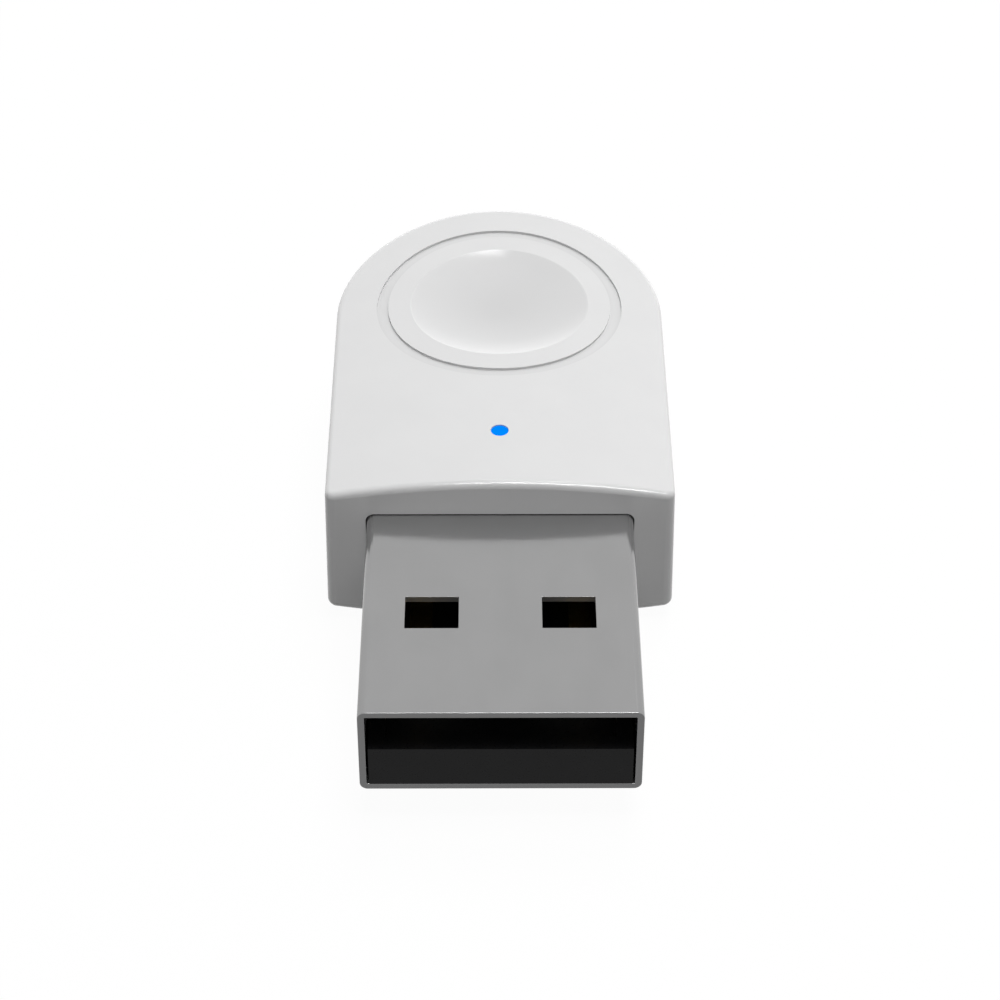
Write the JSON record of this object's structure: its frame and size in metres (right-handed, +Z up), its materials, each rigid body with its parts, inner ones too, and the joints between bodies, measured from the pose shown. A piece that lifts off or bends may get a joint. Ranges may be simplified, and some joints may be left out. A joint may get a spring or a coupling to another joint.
{
  "type": "usb bluetooth adapter",
  "caption": "Short wireless USB adapter: a metal plug in front of a white drafted housing with a half-round rear, crowned faces, a ring round a shallow dish and a small status light.",
  "frame": {"origin": "middle of the overall length and width, on the surface that the housing stands on", "axes": "+Z up through the roof with the dish, +Y from the plug's mouth to the round rear, +X to the right when looking along +Y"},
  "size_m": [0.016, 0.0346, 0.008],
  "materials": {
    "housing_plastic": "fine satin moulded white plastic",
    "cover_plastic": "fine satin moulded white plastic",
    "guide_plastic": "clear plastic that glows blue",
    "plug_steel": "plain nickel-plated sheet, softly brushed",
    "insulator_plastic": "black moulded plastic",
    "contact_gold": "bright gold plating",
    "solder": "bright tin solder",
    "board_laminate": "green solder mask",
    "board_copper": "etched copper under varnish",
    "led_resin": "clear resin on a white base",
    "chip_plastic": "black moulding compound",
    "crystal_can": "plain metal lid on ceramic",
    "resistor_ceramic": "dark glaze between tinned ends",
    "chip_ceramic": "tan ceramic between tinned ends",
    "ferrite": "dark grey ferrite between tinned ends"
  },
  "bodies": {
    "root": {"upper_housing": "housing_plastic", "lower_cover": "cover_plastic", "plug_shell": "plug_steel", "plug_insulator": "insulator_plastic", "light_guide": "guide_plastic", "contact_power": "contact_gold", "contact_data_minus": "contact_gold", "contact_data_plus": "contact_gold", "contact_ground": "contact_gold", "solder_power": "solder", "solder_data_minus": "solder", "solder_data_plus": "solder", "solder_ground": "solder", "solder_leg_left": "solder", "solder_leg_right": "solder", "circuit_board": "board_laminate", "antenna_trace": "board_copper", "status_led": "led_resin", "radio_chip": "chip_plastic", "crystal": "crystal_can", "voltage_regulator": "chip_plastic", "surge_protector": "chip_plastic", "led_resistor": "resistor_ceramic", "data_resistor_left": "resistor_ceramic", "data_resistor_right": "resistor_ceramic", "decoupling_capacitor_1": "chip_ceramic", "decoupling_capacitor_2": "chip_ceramic", "decoupling_capacitor_3": "chip_ceramic", "bulk_capacitor": "chip_ceramic", "ferrite_bead": "ferrite", "crystal_capacitor_left": "chip_ceramic", "crystal_capacitor_right": "chip_ceramic", "antenna_capacitor": "chip_ceramic", "antenna_inductor": "chip_ceramic"}
  },
  "joints": []
}
